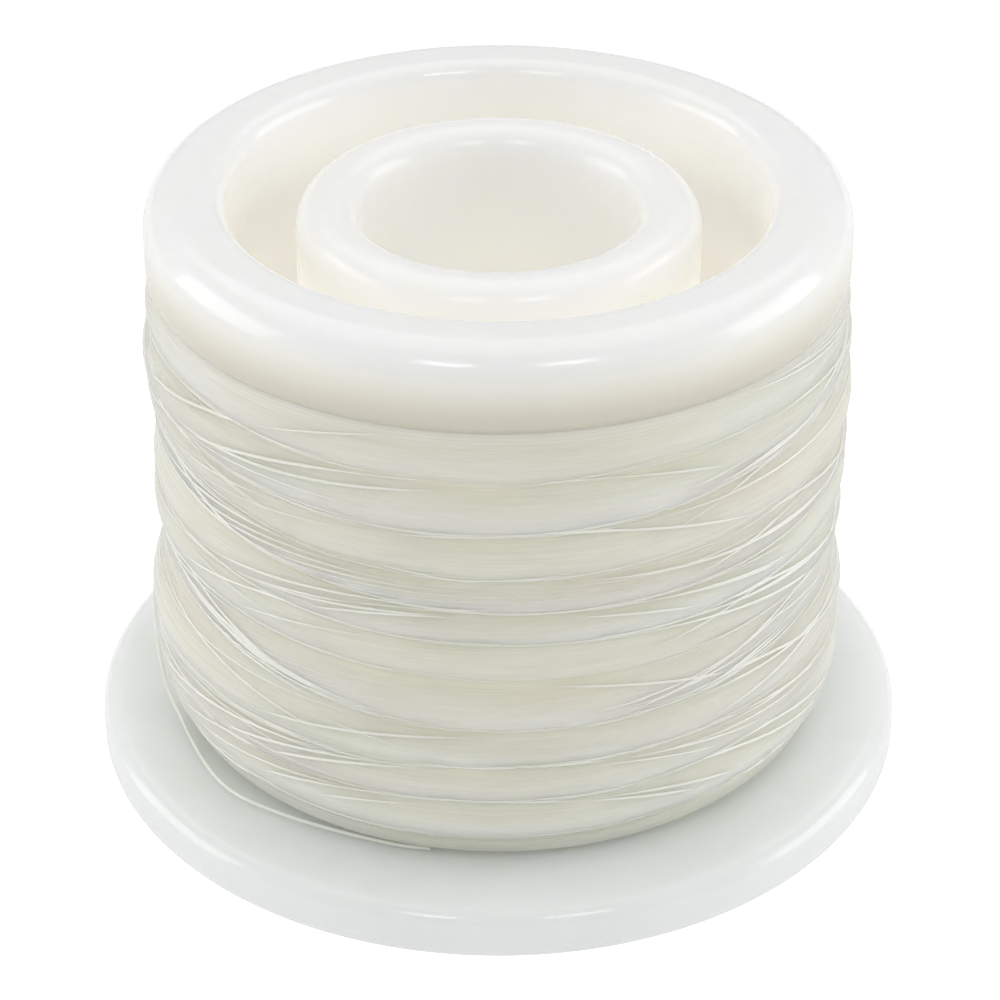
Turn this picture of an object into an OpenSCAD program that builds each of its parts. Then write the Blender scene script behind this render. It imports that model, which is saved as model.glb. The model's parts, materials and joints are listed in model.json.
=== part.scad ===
// Fishing line spool: a double-walled plastic spool with a wide lower flange and a
// narrow, thick and rounded upper flange, wound full of clear monofilament line.
// Millimetres. The axis is +Z and the spool stands on z = 0 with its wide flange down.

/* [Flanges] */
// Diameter of the wide lower flange
lower_d = 40; // [37:0.5:46]
// Thickness of the lower flange
lower_t = 2.7; // [2.2:0.1:4]
// Rounding of the lower flange's outer edge
lower_edge = 0.9; // [0.4:0.1:1.1]
// Diameter of the upper flange
upper_d = 33.2; // [32.4:0.2:35]
// Depth of the upper flange, from its top to its underside
upper_t = 4.4; // [3.9:0.1:6]
// Rounding of the upper flange's outer edge
bead_r = 1.7; // [1:0.1:2.2]
// Rounding of the upper flange's outer lower edge, over the line
under_r = 1; // [0.3:0.1:1.7]
// Rounding of the upper flange's inner lip, where the recess begins
lip_r = 0.9; // [0.3:0.1:1.1]
// Overall height of the spool
spool_h = 30.3; // [28:0.1:40]

/* [Hub] */
// Diameter of the spindle bore
bore_d = 13.2; // [12:0.1:13.6]
// Outer diameter of the hub tube
hub_d = 19; // [18.6:0.1:19.4]
// How far the top of the hub tube lies below the top of the upper flange
hub_drop = 0.8; // [0.4:0.1:3]

/* [Drum] */
// Inner diameter of the drum, which is the wall of the open recess
recess_d = 25.6; // [24.6:0.1:26]
// Thickness of the drum wall under the line
barrel_wall = 1.2; // [1:0.1:1.4]
// Number of ribs that hold the drum round the hub
rib_count = 6; // [4:1:8]
// Height of the ribs above the lower flange
rib_h = 11; // [6:0.5:16]
// Thickness of each rib
rib_t = 1.1; // [0.8:0.1:1.6]

/* [Line] */
// Diameter of the monofilament line
line_d = 0.2; // [0.15:0.01:0.25]

/* [Hidden] */
$fn = 128;

lower_r = lower_d / 2;
upper_r = upper_d / 2;
bore_r = bore_d / 2;
hub_r = hub_d / 2;
recess_r = recess_d / 2;
barrel_r = recess_r + barrel_wall;
line_r = line_d / 2;

// Levels, from the table up
flange_top = lower_t;
rim_bottom = spool_h - upper_t;
hub_top = spool_h - hub_drop;

// Small roundings of the mouldings
bore_lead = 0.4;
hub_inner_round = 1.2;
hub_outer_round = 1.3;

// Shallow relief under the lower flange, which leaves a foot ring at its edge
relief_depth = 0.5;
relief_in = hub_r + 0.9;
relief_out = lower_r - 3;

// Register ring on the lower flange, which the drum is pressed over
register_h = 1.5;
register_wall = 1.3;

// Anchor hole through the drum wall, where the line's inner end is knotted
anchor_angle = 145;
anchor_z = flange_top + register_h + 1.1;
anchor_hole_r = 0.4;
knot_r = 0.5;

// Outline of the wound line, as [radius beyond the drum, fraction of the winding width].
// It bulges and dips in bands, where the winder's traverse turned back at different places.
pack_outline = [
  [0.7, 0], [2.0, 0.02], [2.8, 0.075], [3.1, 0.16], [3.25, 0.27], [2.85, 0.34],
  [2.65, 0.41], [2.9, 0.49], [2.8, 0.56], [3.0, 0.61], [2.65, 0.69], [2.95, 0.77],
  [3.0, 0.82], [2.75, 0.885], [2.7, 0.93], [2.45, 0.985], [2.55, 1.01]
];
pack_low = flange_top;
pack_high = rim_bottom;
// The last turns wedge in under the upper flange's rounding. Each point is a turn of the
// rounding from its outer side, in degrees, and the gap left to it.
pack_crown = [[25, 0.05], [40, 0.04], [57, 0.04], [74, 0.04], [90, 0.04]];

// Route of the slack turn that has dropped onto the lower flange. Its heights are
// measured from the flange's top, to the middle of the line.
loose_route = [
  [-17.2, 2.2, 5.5], [-17.3, 0.3, 4.1], [-17, -1.7, 2.5], [-16.5, -3.2, 1.1],
  [-15.7, -4.8, 0.3], [-15.1, -6.3, 0.1], [-14.3, -8.2, 0.1], [-13.4, -9.8, 0.1],
  [-12.3, -11, 0.1], [-11, -11.9, 0.1], [-9.6, -12.7, 0.1], [-8.1, -13.4, 0.1],
  [-6.4, -14.1, 0.1], [-4.6, -14.7, 0.1], [-3.2, -15, 0.15]
];

// Route of the outer end, tucked under the last turns on the far side
free_route = [
  [12.1, 11.7, 9.3], [10.8, 12.9, 9.6], [9.2, 14.1, 9.9], [7.5, 15.1, 10.3],
  [5.8, 15.9, 10.8], [4.4, 16.5, 11.4], [3.1, 17, 12.2], [2, 17.4, 13]
];

// ---------- sections and sweeps ----------

// Rounded rectangle in the half-plane that is revolved. The four radii go round
// from the low inner corner to the high inner corner, and 0 leaves a sharp corner.
module rounded_section(r_in, r_out, z_lo, z_hi, lo_in, lo_out, hi_out, hi_in) {
  polygon([
    [r_in, z_lo + lo_in], [r_in + lo_in, z_lo], [r_out - lo_out, z_lo], [r_out, z_lo + lo_out],
    [r_out, z_hi - hi_out], [r_out - hi_out, z_hi], [r_in + hi_in, z_hi], [r_in, z_hi - hi_in]
  ]);
  if (lo_in > 0) translate([r_in + lo_in, z_lo + lo_in]) circle(r = lo_in);
  if (lo_out > 0) translate([r_out - lo_out, z_lo + lo_out]) circle(r = lo_out);
  if (hi_out > 0) translate([r_out - hi_out, z_hi - hi_out]) circle(r = hi_out);
  if (hi_in > 0) translate([r_in + hi_in, z_hi - hi_in]) circle(r = hi_in);
}

// Ring between two radii and two levels
module ring(r_in, r_out, z_lo, z_hi) {
  rotate_extrude()
    translate([r_in, z_lo])
      square([r_out - r_in, z_hi - z_lo]);
}

// Point at t from 0 to 1 on a Catmull-Rom curve through p1 and p2
function curve_point(p0, p1, p2, p3, t) =
  0.5 * (2 * p1 + (p2 - p0) * t + (2 * p0 - 5 * p1 + 4 * p2 - p3) * pow(t, 2)
    + (3 * p1 - p0 - 3 * p2 + p3) * pow(t, 3));

// The route's points with more put between them, steps to each stretch
function smooth_route(pts, steps) = let (last = len(pts) - 1) concat(
  [for (i = [0 : last - 1])
    for (k = [0 : steps - 1])
      curve_point(pts[max(i - 1, 0)], pts[i], pts[i + 1], pts[min(i + 2, last)], k / steps)],
  [pts[last]]
);

function unit(v) = v / norm(v);

function tangent(path, i) = unit(path[min(i + 1, len(path) - 1)] - path[max(i - 1, 0)]);

// Tube of round section with its middle on the path
module swept_line(path, r, sides = 8) {
  rings = len(path);
  points = [
    for (i = [0 : rings - 1])
      let (
        along = tangent(path, i),
        out = unit(cross(along, [0, 0, 1])),
        up = cross(out, along)
      )
      for (k = [0 : sides - 1])
        let (a = 360 * k / sides)
          path[i] + r * (cos(a) * out + sin(a) * up)
  ];
  walls = [
    for (i = [0 : rings - 2])
      for (k = [0 : sides - 1])
        let (
          a = i * sides + k,
          b = i * sides + (k + 1) % sides
        )
        each [[a, b, a + sides], [b, b + sides, a + sides]]
  ];
  start_cap = [for (k = [0 : sides - 1]) sides - 1 - k];
  end_cap = [for (k = [0 : sides - 1]) (rings - 1) * sides + k];
  polyhedron(points, concat([start_cap], walls, [end_cap]), convexity = 4);
}

function lifted(route, z) = [for (p = route) p + [0, 0, z]];

// ---------- lower moulding: flange, hub tube and ribs ----------

module register_ring() {
  ring(recess_r - register_wall, recess_r, flange_top, flange_top + register_h);
}

module lower_flange() {
  color("#eef1f2") {
    difference() {
      rotate_extrude()
        rounded_section(hub_r, lower_r, 0, lower_t, 0, lower_edge, lower_edge, 0);
      ring(relief_in, relief_out, -1, relief_depth);
    }
    register_ring();
  }
}

module hub_tube() {
  color("#f1f1ed")
    rotate_extrude()
      rounded_section(
        bore_r, hub_r, 0, hub_top, bore_lead, 0, hub_outer_round, hub_inner_round
      );
}

module drum_ribs() {
  color("#ececE4")
    for (i = [0 : rib_count - 1])
      difference() {
        intersection() {
          ring(hub_r, recess_r, flange_top, flange_top + rib_h);
          rotate([0, 0, 360 * i / rib_count])
            translate([0, -rib_t / 2, flange_top])
              cube([recess_r + 1, rib_t, rib_h]);
        }
        register_ring();
      }
}

// ---------- upper moulding: drum wall and upper flange ----------

module barrel() {
  color("#f0f0e8")
    difference() {
      ring(recess_r, barrel_r, flange_top, rim_bottom);
      rotate([0, 0, anchor_angle])
        translate([recess_r - 1, 0, anchor_z])
          rotate([0, 90, 0])
            cylinder(r = anchor_hole_r, h = barrel_wall + 2, $fn = 32);
    }
}

module upper_flange() {
  color("#f2f2ef")
    rotate_extrude()
      rounded_section(recess_r, upper_r, rim_bottom, spool_h, 0, under_r, bead_r, lip_r);
}

// ---------- the line ----------

module wound_line() {
  color("#dedcd0")
    rotate_extrude()
      polygon(concat(
        [[barrel_r, pack_low]],
        [for (p = pack_outline) [barrel_r + p[0], pack_low + p[1] * (pack_high - pack_low)]],
        [for (p = pack_crown) [
          upper_r - under_r + (under_r + p[1]) * cos(p[0]),
          pack_high + under_r - (under_r + p[1]) * sin(p[0])
        ]],
        [[barrel_r, pack_high - 0.04]]
      ));
}

module loose_turn() {
  color("#e6e8e6")
    swept_line(smooth_route(lifted(loose_route, flange_top), 4), line_r);
}

// Stopper knot inside the recess, and the stub of line through the drum wall
module anchor_knot() {
  color("#e6e8e6")
    rotate([0, 0, anchor_angle])
      translate([recess_r - knot_r, 0, anchor_z]) {
        sphere(r = knot_r, $fn = 32);
        rotate([0, 90, 0])
          cylinder(r = line_r, h = barrel_wall + knot_r, $fn = 16);
      }
}

module free_end() {
  color("#e6e8e6")
    swept_line(smooth_route(lifted(free_route, flange_top), 5), line_r);
}

lower_flange();
hub_tube();
drum_ribs();
barrel();
upper_flange();
wound_line();
loose_turn();
anchor_knot();
free_end();
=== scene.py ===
"""Fishing line spool: the looks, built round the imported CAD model. Everything is in metres."""

import json
import math

import bpy
import numpy as np
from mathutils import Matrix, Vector


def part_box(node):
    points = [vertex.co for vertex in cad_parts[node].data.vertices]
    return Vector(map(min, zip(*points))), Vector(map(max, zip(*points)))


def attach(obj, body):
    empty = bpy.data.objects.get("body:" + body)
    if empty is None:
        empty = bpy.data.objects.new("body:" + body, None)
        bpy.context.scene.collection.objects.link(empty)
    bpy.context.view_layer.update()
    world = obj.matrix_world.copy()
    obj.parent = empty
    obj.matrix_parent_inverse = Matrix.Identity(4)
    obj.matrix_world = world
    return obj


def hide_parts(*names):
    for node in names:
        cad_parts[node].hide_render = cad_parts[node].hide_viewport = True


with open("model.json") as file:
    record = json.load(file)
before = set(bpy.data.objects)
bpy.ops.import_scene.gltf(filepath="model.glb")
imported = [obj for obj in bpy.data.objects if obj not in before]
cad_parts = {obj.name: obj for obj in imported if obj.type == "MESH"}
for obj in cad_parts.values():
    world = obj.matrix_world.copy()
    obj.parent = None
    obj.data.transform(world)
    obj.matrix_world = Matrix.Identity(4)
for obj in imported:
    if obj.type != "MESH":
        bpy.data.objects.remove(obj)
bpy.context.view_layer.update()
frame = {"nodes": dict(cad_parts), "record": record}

MM = 0.001
TURN = 2 * math.pi
nodes = frame["nodes"]
rng = np.random.default_rng(7)

# ---------- sizes, from the CAD ----------

flange_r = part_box("lower_flange")[1].x
flange_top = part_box("wound_line")[0].z
register_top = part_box("lower_flange")[1].z
pack_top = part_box("wound_line")[1].z
rim_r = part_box("upper_flange")[1].x
rim_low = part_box("upper_flange")[0].z
rim_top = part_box("upper_flange")[1].z
hub_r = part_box("hub_tube")[1].x
hub_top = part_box("hub_tube")[1].z
barrel_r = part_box("barrel")[1].x
recess_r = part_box("drum_ribs")[1].x
mounts = {m["name"]: m for m in frame["record"]["mounts"]}
bore_r = mounts["spindle_bore"]["dims"]["r_mm"] * MM

# Roundings of the mouldings, as in part.scad
FLANGE_EDGE = 0.9 * MM
RIM_OUTER = 1.7 * MM
RIM_LIP = 0.9 * MM
RIM_UNDER = 1.0 * MM
HUB_INNER = 1.2 * MM
HUB_OUTER = 1.3 * MM
BORE_LEAD = 0.4 * MM
RELIEF_DEPTH = 0.5 * MM
RELIEF_IN = hub_r + 0.9 * MM
RELIEF_OUT = flange_r - 3 * MM
REGISTER_WALL = 1.3 * MM

LINE_R = 0.1 * MM
# Angle between two sections of a wound strand, and of the pack under it
STEP = math.radians(3)


# ---------- materials ----------


def linear(r, g, b):
    """A colour given as 8-bit sRGB, in the linear numbers that shaders take."""
    out = []
    for c in (r, g, b):
        c = c / 255
        out.append(c / 12.92 if c <= 0.04045 else ((c + 0.055) / 1.055) ** 2.4)
    return (*out, 1.0)


def new_material(name):
    m = bpy.data.materials.new(name)
    m.cycles.emission_sampling = "NONE"
    m.use_nodes = True
    tree = m.node_tree
    return m, tree, tree.nodes["Principled BSDF"]


def noise(tree, coords, scale, detail=3.0, roughness=0.5):
    n = tree.nodes.new("ShaderNodeTexNoise")
    n.inputs["Scale"].default_value = scale
    n.inputs["Detail"].default_value = detail
    n.inputs["Roughness"].default_value = roughness
    tree.links.new(coords, n.inputs["Vector"])
    return n.outputs["Fac"]


def mix_colour(tree, fac, a, b):
    """Colour between a and b, each a colour or a socket."""
    n = tree.nodes.new("ShaderNodeMix")
    n.data_type = "RGBA"
    tree.links.new(fac, n.inputs["Factor"])
    for socket, value in ((n.inputs[6], a), (n.inputs[7], b)):
        if isinstance(value, bpy.types.NodeSocket):
            tree.links.new(value, socket)
        else:
            socket.default_value = value
    return n.outputs[2]


def spread(tree, value, low, high, to_low=0.0, to_high=1.0):
    """The value stretched from low..high to to_low..to_high, and held there."""
    n = tree.nodes.new("ShaderNodeMapRange")
    n.inputs["From Min"].default_value = low
    n.inputs["From Max"].default_value = high
    n.inputs["To Min"].default_value = to_low
    n.inputs["To Max"].default_value = to_high
    tree.links.new(value, n.inputs["Value"])
    return n.outputs["Result"]


def object_coords(tree):
    return tree.nodes.new("ShaderNodeTexCoord").outputs["Object"]


def bump(tree, height, distance, strength=1.0, normal=None):
    n = tree.nodes.new("ShaderNodeBump")
    n.inputs["Distance"].default_value = distance
    n.inputs["Strength"].default_value = strength
    tree.links.new(height, n.inputs["Height"])
    if normal is not None:
        tree.links.new(normal, n.inputs["Normal"])
    return n.outputs["Normal"]


def maths(tree, operation, *values):
    n = tree.nodes.new("ShaderNodeMath")
    n.operation = operation
    for socket, value in zip(n.inputs, values):
        if isinstance(value, bpy.types.NodeSocket):
            tree.links.new(value, socket)
        else:
            socket.default_value = value
    return n.outputs[0]


def radius_and_height(tree, coords):
    parts = tree.nodes.new("ShaderNodeSeparateXYZ")
    tree.links.new(coords, parts.inputs[0])
    x, y, z = parts.outputs
    square = maths(tree, "ADD", maths(tree, "MULTIPLY", x, x), maths(tree, "MULTIPLY", y, y))
    return maths(tree, "SQRT", square), z


# Faint light that the plastic and the line give off, in place of the light that would soak
# through them: deep in the bore and the recess, above the line, and in the line's top edge
GLOW_COLOUR = (255, 248, 228)
GLOW_DEPTH = 7 * MM
BORE_GLOW = 0.08
RECESS_GLOW = 0.2
LINE_GLOW = 0.12
WEDGE_GLOW = 0.08


def hollow_glow(tree, coords):
    """Strength of the glow on walls deep in the recess and the bore, and on the upper flange
    where it rests on the line. It is 0 on other surfaces out in the open."""
    r, z = radius_and_height(tree, coords)
    inside = spread(tree, r, recess_r + 0.02 * MM, recess_r + 0.6 * MM, 1.0, 0.0)
    place = spread(tree, r, bore_r + 0.5 * MM, hub_r - 0.5 * MM, BORE_GLOW, RECESS_GLOW)
    depth = spread(tree, z, rim_top, rim_top - GLOW_DEPTH)
    above_foot = spread(tree, z, 0.0, 2 * MM)
    share = maths(tree, "MULTIPLY", maths(tree, "MULTIPLY", inside, depth), above_foot)
    near_line = maths(tree, "POWER", spread(tree, z, pack_top, pack_top + 1.1 * MM, 1.0, 0.0), 2.0)
    outside = spread(tree, r, recess_r + 2 * MM, rim_r - 0.5 * MM)
    through_line = maths(tree, "MULTIPLY", maths(tree, "MULTIPLY", near_line, outside), LINE_GLOW)
    above_flange = spread(tree, z, rim_low, rim_low + 0.1 * MM)
    through_line = maths(tree, "MULTIPLY", through_line, above_flange)
    return maths(tree, "ADD", maths(tree, "MULTIPLY", share, place), through_line)


def add_specks(tree, coords, tone, scale, colour):
    """The tone with a few small dark specks, as dust and black spots in the plastic give."""
    dots = tree.nodes.new("ShaderNodeTexVoronoi")
    dots.inputs["Scale"].default_value = scale
    tree.links.new(coords, dots.inputs["Vector"])
    dot = spread(tree, dots.outputs["Distance"], 0.012, 0.03, 1.0, 0.0)
    rare = spread(tree, noise(tree, coords, 60, 1.0), 0.62, 0.66)
    return mix_colour(tree, maths(tree, "MULTIPLY", dot, rare), tone, linear(*colour))


def milky_plastic(name, light, dark, painted_low_shade=None, polish=0.09):
    """Natural polyethylene: milky, waxy, with faint clouds and a few specks, and the glow; given a
    shade colour, it also has painted shade low on its outer side.
    """
    m, tree, shader = new_material(name)
    coords = object_coords(tree)
    shader.inputs["Emission Color"].default_value = linear(*GLOW_COLOUR)
    tree.links.new(hollow_glow(tree, coords), shader.inputs["Emission Strength"])
    clouds = noise(tree, coords, 170, 4.0, 0.6)
    tone = mix_colour(tree, spread(tree, clouds, 0.35, 0.65), linear(*dark), linear(*light))
    tone = add_specks(tree, coords, tone, 260, (110, 106, 98))
    # Painted shade: the upper flange's outer side turns darker and warmer towards its lower edge,
    # above the line.
    if painted_low_shade:
        r, z = radius_and_height(tree, coords)
        low = spread(tree, z, rim_top - 0.7 * MM, rim_low + 0.9 * MM)
        outside = spread(tree, r, recess_r + 0.5 * MM, recess_r + 2 * MM)
        tone = mix_colour(tree, maths(tree, "MULTIPLY", low, outside), tone, linear(*painted_low_shade))
    tree.links.new(tone, shader.inputs["Base Color"])
    shader.inputs["Subsurface Weight"].default_value = 1.0
    shader.inputs["Subsurface Radius"].default_value = (1.0, 1.0, 0.85)
    shader.inputs["Subsurface Scale"].default_value = 4.0 * MM
    shader.inputs["IOR"].default_value = 1.5
    shader.inputs["Specular IOR Level"].default_value = 0.45
    matt = spread(tree, noise(tree, coords, 420, 2.0), 0.3, 0.7, polish, polish + 0.09)
    tree.links.new(matt, shader.inputs["Roughness"])
    wave = bump(tree, noise(tree, coords, 230, 2.0), 0.06 * MM, 0.4)
    skin = bump(tree, noise(tree, coords, 900, 3.0), 0.03 * MM, 0.5, wave)
    tree.links.new(skin, shader.inputs["Normal"])
    return m


def nylon(name, light, dark, warm, roughness):
    """Clear nylon line in a pack: cream grey, with clouds along the strands, and painted light
    that makes it paler on the crests of the bands, so that the hollows look darker."""
    m, tree, shader = new_material(name)
    coords = object_coords(tree)
    along = tree.nodes.new("ShaderNodeMapping")
    along.inputs["Scale"].default_value = (1, 1, 5)
    tree.links.new(coords, along.inputs["Vector"])
    clouds = noise(tree, along.outputs["Vector"], 130, 4.0, 0.65)
    tone = mix_colour(tree, spread(tree, clouds, 0.35, 0.65), linear(*dark), linear(*light))
    drift = noise(tree, along.outputs["Vector"], 55, 2.0)
    tone = mix_colour(tree, spread(tree, drift, 0.45, 0.7), tone, linear(*warm))
    # Painted light and shade: paler where the swell is high, on the crests of the bands, so the
    # hollows stay darker.
    crest = tree.nodes.new("ShaderNodeAttribute")
    crest.attribute_name = "crest"
    patchy = spread(tree, noise(tree, along.outputs["Vector"], 90, 2.0), 0.35, 0.65, 0.35, 1.0)
    painted_crest_light = maths(tree, "MULTIPLY", spread(tree, crest.outputs["Fac"], 0.1, 1.0, 0.0, 0.8), patchy)
    tone = mix_colour(tree, painted_crest_light, tone, linear(252, 252, 246))
    tree.links.new(tone, shader.inputs["Base Color"])
    shader.inputs["Roughness"].default_value = roughness
    shader.inputs["IOR"].default_value = 1.53
    return m, tree, shader, coords, tone


def nylon_mass(name, light, dark, warm):
    """The body of the pack, with the strands in it as fine streaks, and a glow at its top."""
    m, tree, shader, coords, tone = nylon(name, light, dark, warm, 0.42)
    fine = tree.nodes.new("ShaderNodeMapping")
    fine.inputs["Scale"].default_value = (1, 1, 14)
    tree.links.new(coords, fine.inputs["Vector"])
    streaks = noise(tree, fine.outputs["Vector"], 360, 2.0, 0.6)
    deeper = mix_colour(tree, spread(tree, streaks, 0.3, 0.7, 0.0, 0.10), tone,
                        linear(168, 166, 152))
    deeper = add_specks(tree, fine.outputs["Vector"], deeper, 300, (120, 114, 102))
    z = radius_and_height(tree, coords)[1]
    wedged = spread(tree, z, rim_low - 0.3 * MM, rim_low + 0.3 * MM, 0.0, WEDGE_GLOW)
    shader.inputs["Emission Color"].default_value = linear(*GLOW_COLOUR)
    tree.links.new(wedged, shader.inputs["Emission Strength"])
    tree.links.new(deeper, shader.inputs["Base Color"])
    tree.links.new(bump(tree, streaks, 0.03 * MM, 0.5), shader.inputs["Normal"])
    shader.inputs["Subsurface Weight"].default_value = 1.0
    shader.inputs["Subsurface Radius"].default_value = (1.0, 1.0, 0.9)
    shader.inputs["Subsurface Scale"].default_value = 1.6 * MM
    return m


def nylon_strand(name, light, dark, warm):
    """A strand that lies on top of the pack and glints along its length."""
    return nylon(name, light, dark, warm, 0.2)[0]


# The rim's third colour is its painted shade, low on the outer side.
rim_plastic = milky_plastic("rim_plastic", (249, 249, 247), (245, 245, 242), (228, 224, 205))
hub_plastic = milky_plastic("hub_plastic", (250, 250, 247), (246, 246, 242), polish=0.17)
base_plastic = milky_plastic("base_plastic", (234, 237, 237), (229, 233, 232))
line_mass = nylon_mass("line_mass", (245, 246, 232), (238, 238, 220), (243, 239, 222))
line_strand = nylon_strand("line_strand", (238, 239, 226), (230, 231, 214), (235, 232, 216))
# Painted light: a paler copy of the strand material, so that the turns lying on top look lit as
# they catch the light.
line_painted_light = nylon_strand("line_painted_light", (248, 249, 243), (241, 242, 233), (245, 244, 235))


# ---------- mesh helpers ----------


def add_mesh(name, points, faces, material):
    mesh = bpy.data.meshes.new(name)
    mesh.from_pydata(points, [], faces)
    mesh.update()
    mesh.validate()
    mesh.materials.append(material)
    mesh.polygons.foreach_set("use_smooth", [True] * len(mesh.polygons))
    piece = bpy.data.objects.new(name, mesh)
    bpy.context.scene.collection.objects.link(piece)
    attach(piece, "root")
    return piece


def corner(r, z, radius, start, end, steps=10):
    """Points along a rounded corner with its middle at r, z, between two angles in degrees."""
    angles = np.radians(np.linspace(start, end, steps))
    return [(r + radius * math.cos(a), z + radius * math.sin(a)) for a in angles]


def dense(outline, step):
    """The closed outline with points put in wherever two lie further apart than step."""
    out = []
    for (r0, z0), (r1, z1) in zip(outline, outline[1:] + outline[:1]):
        n = max(1, math.ceil(math.hypot(r1 - r0, z1 - z0) / step))
        out += [(r0 + (r1 - r0) * k / n, z0 + (z1 - z0) * k / n) for k in range(n)]
    return out


def lathe(name, outline, material, around=256):
    """Ring with the closed outline of (r, z) points as its section."""
    section = np.array(outline)
    n = len(section)
    a = np.linspace(0, TURN, around, endpoint=False)[:, None]
    points = np.stack(
        [section[:, 0] * np.cos(a), section[:, 0] * np.sin(a), section[:, 1] + 0 * a], axis=-1
    ).reshape(-1, 3)
    faces = []
    for i in range(around):
        j = (i + 1) % around
        for k in range(n):
            m = (k + 1) % n
            faces.append((i * n + k, j * n + k, j * n + m, i * n + m))
    return add_mesh(name, points.tolist(), faces, material)


def tube(paths, radius, sides=6):
    """Points and faces of round strands along the paths, each an array of points. The section
    stands on the outward and the upward direction, which suits turns that lie round the axis."""
    points, faces = [], []
    base = 0
    angles = np.arange(sides) * TURN / sides
    for path in paths:
        out = path * (1, 1, 0)
        out = out / np.linalg.norm(out, axis=1)[:, None]
        along = np.gradient(path, axis=0)
        along = along / np.linalg.norm(along, axis=1)[:, None]
        up = np.cross(along, out)
        up = up / np.linalg.norm(up, axis=1)[:, None]
        side = np.cross(up, along)
        ring = path[:, None, :] + radius * (
            np.cos(angles)[None, :, None] * side[:, None, :]
            + np.sin(angles)[None, :, None] * up[:, None, :]
        )
        n = len(path)
        points.append(ring.reshape(-1, 3))
        i = np.arange(n - 1)[:, None] * sides + base
        k = np.arange(sides)[None, :]
        m = (k + 1) % sides
        faces.append(np.stack([i + k, i + m, i + m + sides, i + k + sides], -1).reshape(-1, 4))
        base += n * sides
    return np.concatenate(points), np.concatenate(faces)


# ---------- mouldings ----------


def make_lower_flange():
    outline = (
        [(hub_r, 0.0)]
        + [(RELIEF_IN, 0.0), (RELIEF_IN, RELIEF_DEPTH)]
        + [(RELIEF_OUT, RELIEF_DEPTH), (RELIEF_OUT, 0.0)]
        + corner(flange_r - FLANGE_EDGE, FLANGE_EDGE, FLANGE_EDGE, -90, 0)
        + corner(flange_r - FLANGE_EDGE, flange_top - FLANGE_EDGE, FLANGE_EDGE, 0, 90)
        + [(recess_r, flange_top), (recess_r, register_top)]
        + [(recess_r - REGISTER_WALL, register_top), (recess_r - REGISTER_WALL, flange_top)]
        + [(hub_r, flange_top)]
    )
    piece = lathe("base_flange", dense(outline, 0.8 * MM), base_plastic)
    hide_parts("lower_flange")


def make_hub_tube():
    outline = (
        [(hub_r, 0.0)]
        + corner(hub_r - HUB_OUTER, hub_top - HUB_OUTER, HUB_OUTER, 0, 90)
        + corner(bore_r + HUB_INNER, hub_top - HUB_INNER, HUB_INNER, 90, 180)
        + corner(bore_r + BORE_LEAD, BORE_LEAD, BORE_LEAD, 180, 270, 5)
    )
    piece = lathe("hub_sleeve", dense(outline, 0.8 * MM), hub_plastic)
    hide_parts("hub_tube")


def make_upper_moulding():
    """The upper flange and the drum under the line, which are one moulding."""
    outline = (
        [(recess_r, flange_top), (barrel_r, flange_top), (barrel_r, rim_low)]
        + corner(rim_r - RIM_UNDER, rim_low + RIM_UNDER, RIM_UNDER, -90, 0, 14)
        + corner(rim_r - RIM_OUTER, rim_top - RIM_OUTER, RIM_OUTER, 0, 90, 14)
        + corner(recess_r + RIM_LIP, rim_top - RIM_LIP, RIM_LIP, 90, 180)
    )
    piece = lathe("upper_moulding", dense(outline, 0.8 * MM), rim_plastic)
    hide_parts("upper_flange", "barrel")


make_lower_flange()
make_hub_tube()
make_upper_moulding()
nodes["drum_ribs"].data.materials.clear()
nodes["drum_ribs"].data.materials.append(hub_plastic)


# ---------- the winding ----------

# Level of each band's lower edge, in millimetres above the table, at the right, the back,
# the left and the front of the spool. A band bulges just above its edge, where the turns of
# one traverse end, and overhangs the band under it.
BANDS = [
    (2.7, 2.7, 2.7, 2.7),
    (4.9, 4.2, 4.6, 4.3),
    (7.2, 6.6, 6.9, 6.6),
    (8.9, 9.3, 8.2, 8.6),
    (11.8, 11.2, 12.6, 10.5),
    (13.6, 14.0, 14.0, 13.2),
    (15.5, 16.3, 16.2, 15.2),
    (17.6, 17.9, 18.8, 17.0),
    (19.4, 19.6, 20.0, 18.6),
    (22.5, 21.6, 22.0, 20.9),
    (24.4, 24.0, 24.2, 23.6),
    (26.5, 26.5, 26.5, 26.5),
]
# Outline of the pack in millimetres, from the bottom up: the level, and the radius there at
# the right, the back, the left and the front
PACK = [
    (2.7, 14.9, 14.9, 14.8, 14.8),
    (3.3, 15.8, 15.8, 15.8, 15.7),
    (4.3, 16.4, 16.4, 16.45, 16.3),
    (5.6, 16.7, 16.7, 16.8, 16.6),
    (8.0, 16.8, 16.8, 17.0, 16.75),
    (9.4, 16.75, 16.8, 17.05, 16.75),
    (10.5, 16.6, 16.7, 16.8, 16.65),
    (11.8, 16.35, 16.55, 16.45, 16.5),
    (12.6, 16.45, 16.5, 16.25, 16.45),
    (13.8, 16.65, 16.45, 16.45, 16.4),
    (15.5, 16.4, 16.45, 16.7, 16.45),
    (17.2, 16.8, 16.5, 16.6, 16.5),
    (18.8, 16.65, 16.45, 16.25, 16.45),
    (20.0, 16.7, 16.5, 16.5, 16.5),
    (21.2, 16.75, 16.5, 16.8, 16.5),
    (22.5, 16.4, 16.45, 16.8, 16.45),
    (23.4, 16.65, 16.45, 16.65, 16.45),
    (24.6, 16.55, 16.45, 16.45, 16.45),
    (25.9, 16.52, 16.5, 16.5, 16.5),
    (26.5, 16.6, 16.6, 16.6, 16.6),
]
# Height of a band's swell, the share of it that the outline above already has, and the part
# of a band's height over which it rises from its lower edge
BAND_RELIEF = 0.34 * MM
MEAN_SWELL = 0.26
BAND_RISE = 0.24


def smoothstep(x):
    x = np.clip(x, 0, 1)
    return x * x * (3 - 2 * x)


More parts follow.
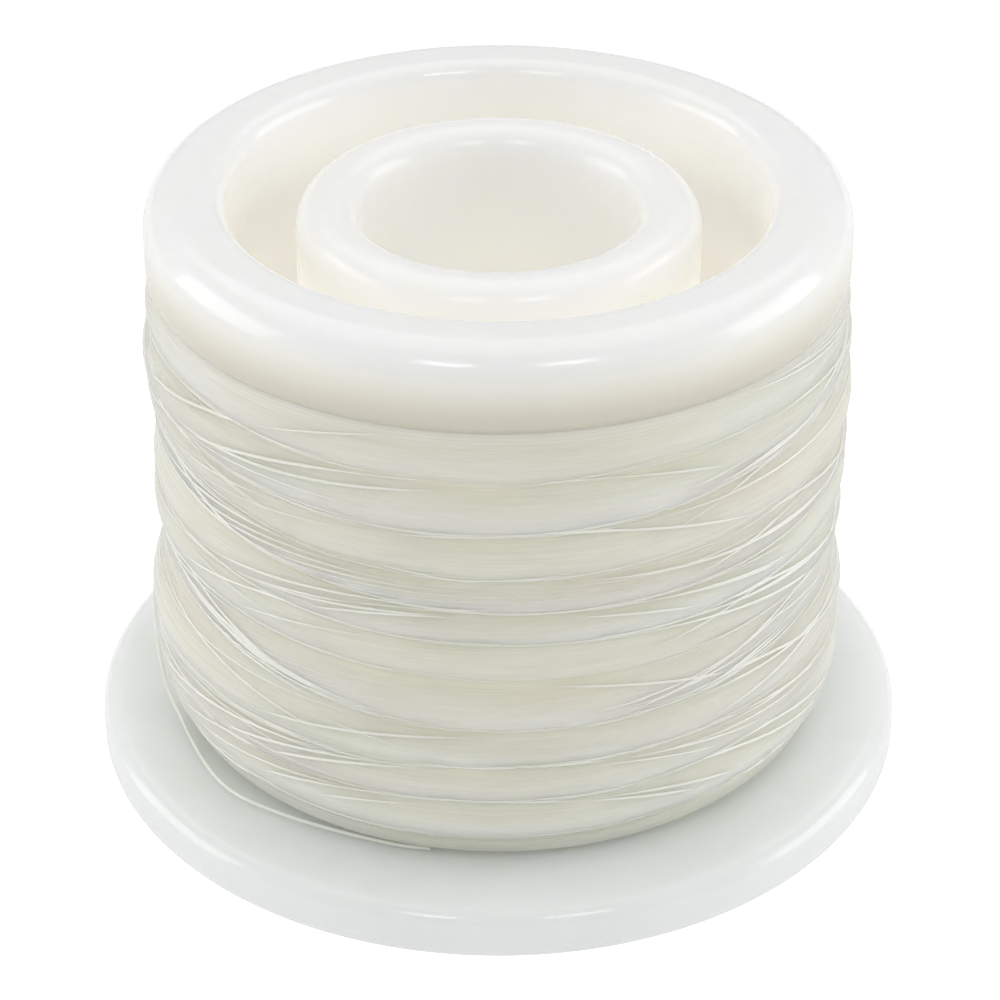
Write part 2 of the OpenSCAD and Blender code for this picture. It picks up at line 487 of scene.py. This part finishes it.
def around(a, values):
    """Value at the azimuths a that passes through the four values in turn: at the right, the
    back, the left and the front. Each may be a number or an array."""
    right, back, left, front = values
    return (
        (right + back + left + front) / 4
        + (right - left) / 2 * np.cos(a)
        + (back - front) / 2 * np.sin(a)
        + (right + left - back - front) / 4 * np.cos(2 * a)
    )


def pack_swell(a, z):
    """How far the bands swell at azimuths a and levels z, from 0 in a hollow to 1 on a crest."""
    edges = around(a, (np.array(BANDS).T * MM)[:, :, None])
    band = np.clip((z[None, :] >= edges).sum(0) - 1, 0, len(BANDS) - 2)
    pick = np.arange(len(z))
    low, high = edges[band, pick], edges[band + 1, pick]
    t = (z - low) / np.maximum(high - low, 0.1 * MM)
    swell = smoothstep(t / BAND_RISE) * (1 - smoothstep((t - 0.26) / 0.74))
    strength = 0.75 + 0.25 * np.sin(2.4 * band + a)
    return swell * strength


def pack_radius(a, z):
    """Radius of the wound line's surface at azimuths a and levels z, arrays of one length."""
    table = np.array(PACK) * MM
    mean = around(a, [np.interp(z, table[:, 0], table[:, i]) for i in range(1, 5)])
    return mean + BAND_RELIEF * (pack_swell(a, z) - MEAN_SWELL)


def mark_crests(piece, swell):
    """Writes the swell at each of the piece's points where its material can read it."""
    values = piece.data.attributes.new("crest", "FLOAT", "POINT")
    values.data.foreach_set("value", swell.astype(np.float32))


def round_path(a, r, z):
    return np.stack([r * np.cos(a), r * np.sin(a), z], axis=-1)


def wobble(a, terms):
    """Smooth wandering with the angle: the sum of (size, frequency, phase) waves."""
    return sum(size * np.sin(rate * a + phase) for size, rate, phase in terms)


def random_waves(count, size, low, high):
    return [
        (size * rng.uniform(0.4, 1.0) / count, rng.uniform(low, high), rng.uniform(0, TURN))
        for _ in range(count)
    ]


TOP = pack_top - LINE_R
BOTTOM = flange_top + LINE_R
# Angle over which a strand dives under at each end
DIVE = math.radians(30)
# Depth of a strand's middle under the pack's surface at its ends, and how much it rises
# between them, in radii of the line
LAYER_DEPTH = 1.55
CROSSING_DEPTH = 1.52
LIFT = 0.6
# How much less the last turns rise at the front, in radii of the line
FRONT_SINK = 0.2


def packed_layer(pitch):
    """One close-wound traverse from top to bottom, as a single path that wanders a little."""
    turns = (TOP - BOTTOM) / pitch
    a = np.arange(0, turns * TURN, STEP)
    fall = TOP - pitch * a / TURN
    wander = wobble(a, random_waves(8, 0.35 * pitch * 3, 0.02, 2.4))
    z = np.clip(fall + wander, BOTTOM, TOP)
    share = smoothstep(np.minimum(a - a[0], a[-1] - a) / DIVE)
    return round_path(a, pack_radius(a, z) + LINE_R * (LIFT * share - LAYER_DEPTH), z)


def taut(r):
    """The radii along a path, raised where needed so that it bridges hollows like a line
    under tension."""
    width = 1
    padded = np.pad(r, width, mode="edge")
    windows = np.lib.stride_tricks.sliding_window_view(padded, 2 * width + 1)
    high = windows.max(axis=1)
    kernel = np.hanning(2 * width + 3)[1:-1]
    smooth = np.convolve(np.pad(high, width, mode="edge"), kernel / kernel.sum(), mode="valid")
    return np.maximum(smooth, r)


def level_at(a, places):
    """Level at the azimuths a of a line that passes the four places, each a band number with
    a fraction, at the right, the back, the left and the front."""
    table = np.array(BANDS) * MM
    numbers = np.arange(len(BANDS))
    return around(a, [np.interp(p, numbers, table[:, i]) for i, p in enumerate(places)])


def crossing_turn(places, turns):
    """A stretch of one of the last turns, which crosses the bands and dives under at its ends."""
    start = rng.integers(0, round(TURN / STEP))
    a = STEP * np.arange(start, start + round(turns * TURN / STEP))
    z = level_at(a, places) + wobble(a, random_waves(3, 0.10 * MM, 1.5, 5))
    z = np.clip(z, BOTTOM, TOP)
    share = smoothstep(np.minimum(a - a[0], a[-1] - a) / DIVE)
    r = taut(pack_radius(a, z))
    lift = LIFT - FRONT_SINK * np.maximum(0, -np.sin(a)) ** 6
    return round_path(a, r * share + pack_radius(a, z) * (1 - share)
                      + LINE_R * (lift * share - CROSSING_DEPTH), z)


def crossing_turns(count):
    """Turns that keep near the band edges at the front and the back, and fan out between."""
    paths = []
    for _ in range(count):
        base = rng.integers(1, len(BANDS) - 1)
        places = base + rng.uniform(-0.9, 0.9, 4)
        places[[1, 3]] = base + rng.integers(-1, 2, 2) * 0.95 + rng.normal(0.12, 0.1, 2)
        paths.append(crossing_turn(places, rng.uniform(0.6, 1.3)))
    return paths


def crest_bundles():
    """A few turns side by side just above each band's lower edge, where the traverse ended."""
    paths = []
    for band in range(1, len(BANDS) - 1):
        for _ in range(rng.integers(3, 7)):
            places = band + 0.12 + rng.normal(0, 0.09, 4)
            paths.append(crossing_turn(places, rng.uniform(0.5, 1.1)))
    return paths


def swell_at(points):
    """The swell at each of the points, which lie on the pack or near it."""
    x, y, z = points.reshape(-1, 3).T
    return pack_swell(np.arctan2(y, x) % TURN, z)


# How far from the drum the hidden top of the line's body begins, inside the upper flange
HIDDEN_TOP = 1.2 * MM


def make_winding():
    stations, levels = round(TURN / STEP), 320
    a = np.linspace(0, TURN, stations, endpoint=False)
    z = np.linspace(flange_top, pack_top, levels)
    grid_a, grid_z = np.meshgrid(a, z, indexing="ij")
    r = pack_radius(grid_a.ravel(), grid_z.ravel())
    outer = round_path(grid_a.ravel(), r, grid_z.ravel()).reshape(stations, levels, 3)
    inner = np.array([(barrel_r + HIDDEN_TOP, pack_top), (barrel_r + HIDDEN_TOP, rim_low),
                      (barrel_r, rim_low), (barrel_r, flange_top)])
    ring_a = a[:, None]
    inner = round_path(ring_a, inner[:, 0], inner[:, 1] + 0 * ring_a)
    section = np.concatenate([outer, inner], axis=1)
    n = section.shape[1]
    i = np.arange(stations)[:, None]
    k = np.arange(n)[None, :]
    j, m = (i + 1) % stations, (k + 1) % n
    faces = np.stack([i * n + k, j * n + k, j * n + m, i * n + m], -1).reshape(-1, 4)
    bulk = add_mesh(
        "line_bulk", section.reshape(-1, 3).tolist(), faces.tolist(), line_mass
    )
    mark_crests(bulk, swell_at(section))
    points, faces = tube([packed_layer(0.2 * MM)], LINE_R)
    turns = add_mesh("line_turns", points.tolist(), faces.tolist(), line_strand)
    mark_crests(turns, swell_at(points))
    # The turns on top take the paler copy with painted light.
    points, faces = tube(crossing_turns(60) + crest_bundles(), LINE_R)
    add_mesh("line_crossings", points.tolist(), faces.tolist(), line_painted_light)
    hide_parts("wound_line")


make_winding()
# The loose turn, the knot and the free end take the paler copy with painted light.
for name in ("loose_turn", "anchor_knot", "free_end"):
    nodes[name].data.materials.clear()
    nodes[name].data.materials.append(line_painted_light)


# ---------- stage, camera and lights ----------

ELEVATION = math.radians(32.0)
DISTANCE = 166.3 * MM
AIM = Vector((0, 0, 12.8 * MM))
FOCAL = 3.375
SENSOR = 36.0

# Light of the pale floor, as the camera sees it and as it falls on the spool from below
FLOOR_SEEN = 0.9
FLOOR_THROWN = 0.53
FLOOR_HALF = 1.2


def make_stage():
    mesh = bpy.data.meshes.new("floor")
    half = FLOOR_HALF
    corners = [(-half, -half, 0), (half, -half, 0), (half, half, 0), (-half, half, 0)]
    mesh.from_pydata(corners, [], [(0, 1, 2, 3)])
    floor = bpy.data.objects.new("floor", mesh)
    bpy.context.scene.collection.objects.link(floor)
    m, tree, shader = new_material("floor_paper")
    shader.inputs["Base Color"].default_value = (0.4, 0.4, 0.4, 1)
    shader.inputs["Roughness"].default_value = 1.0
    shader.inputs["Specular IOR Level"].default_value = 0
    shader.inputs["Emission Color"].default_value = (1, 1, 1, 1)
    seen = tree.nodes.new("ShaderNodeLightPath").outputs["Is Camera Ray"]
    shade = spread(tree, seen, 0.0, 1.0, FLOOR_THROWN, FLOOR_SEEN)
    tree.links.new(shade, shader.inputs["Emission Strength"])
    mesh.materials.append(m)


def make_camera():
    data = bpy.data.cameras.new("camera")
    data.sensor_width = SENSOR
    data.lens = FOCAL * SENSOR
    data.shift_x = 0.0015
    data.clip_start = 0.01
    data.clip_end = 10
    camera = bpy.data.objects.new("camera", data)
    back = Vector((0, -math.cos(ELEVATION), math.sin(ELEVATION)))
    camera.location = AIM + DISTANCE * back
    camera.rotation_mode = "QUATERNION"
    camera.rotation_quaternion = (-back).to_track_quat("-Z", "Y")
    bpy.context.scene.collection.objects.link(camera)
    bpy.context.scene.camera = camera


def add_softbox(name, azimuth, elevation, distance, width, height, power):
    """Rectangular lamp seen from the spool at the azimuth, where 0 is the camera's side."""
    data = bpy.data.lights.new(name, "AREA")
    data.shape = "RECTANGLE"
    data.size = width
    data.size_y = height
    data.energy = power
    lamp = bpy.data.objects.new(name, data)
    a, e = math.radians(azimuth), math.radians(elevation)
    away = Vector((math.sin(a) * math.cos(e), -math.cos(a) * math.cos(e), math.sin(e)))
    lamp.location = AIM + distance * away
    lamp.rotation_mode = "QUATERNION"
    lamp.rotation_quaternion = (-away).to_track_quat("-Z", "Y")
    bpy.context.scene.collection.objects.link(lamp)


# Light from the studio's pale walls at the horizon and from its ceiling, and the walls'
# brightness behind the spool in low views
HORIZON = 0.46
ZENITH = 0.42
WALL_SEEN = 0.95
# Name, azimuth, elevation, distance, width, height and power of each lamp
LAMPS = [
    ("softbox_left", -20, 46, 0.7, 0.15, 0.13, 0.36),
    ("softbox_right", 25, 46, 0.7, 0.18, 0.13, 0.42),
    ("overhead", 180, 68, 0.8, 1.0, 0.9, 2.35),
    ("side_left", -95, 11, 0.8, 0.6, 0.6, 2.6),
    ("side_right", 95, 11, 0.8, 0.6, 0.6, 2.6),
]


def make_lights():
    world = bpy.data.worlds.new("studio")
    world.use_nodes = True
    tree = world.node_tree
    height = tree.nodes.new("ShaderNodeSeparateXYZ")
    tree.links.new(tree.nodes.new("ShaderNodeTexCoord").outputs["Generated"], height.inputs[0])
    background = tree.nodes["Background"]
    background.inputs["Color"].default_value = (1, 1, 1, 1)
    glow = spread(tree, height.outputs[2], 0.0, 0.6, HORIZON, ZENITH)
    seen = tree.nodes.new("ShaderNodeLightPath").outputs["Is Camera Ray"]
    glow = maths(tree, "MAXIMUM", glow, maths(tree, "MULTIPLY", seen, WALL_SEEN))
    tree.links.new(glow, background.inputs["Strength"])
    bpy.context.scene.world = world
    for lamp in LAMPS:
        add_softbox(*lamp)
    bpy.context.scene.view_settings.view_transform = "Standard"


make_stage()
make_camera()
make_lights()
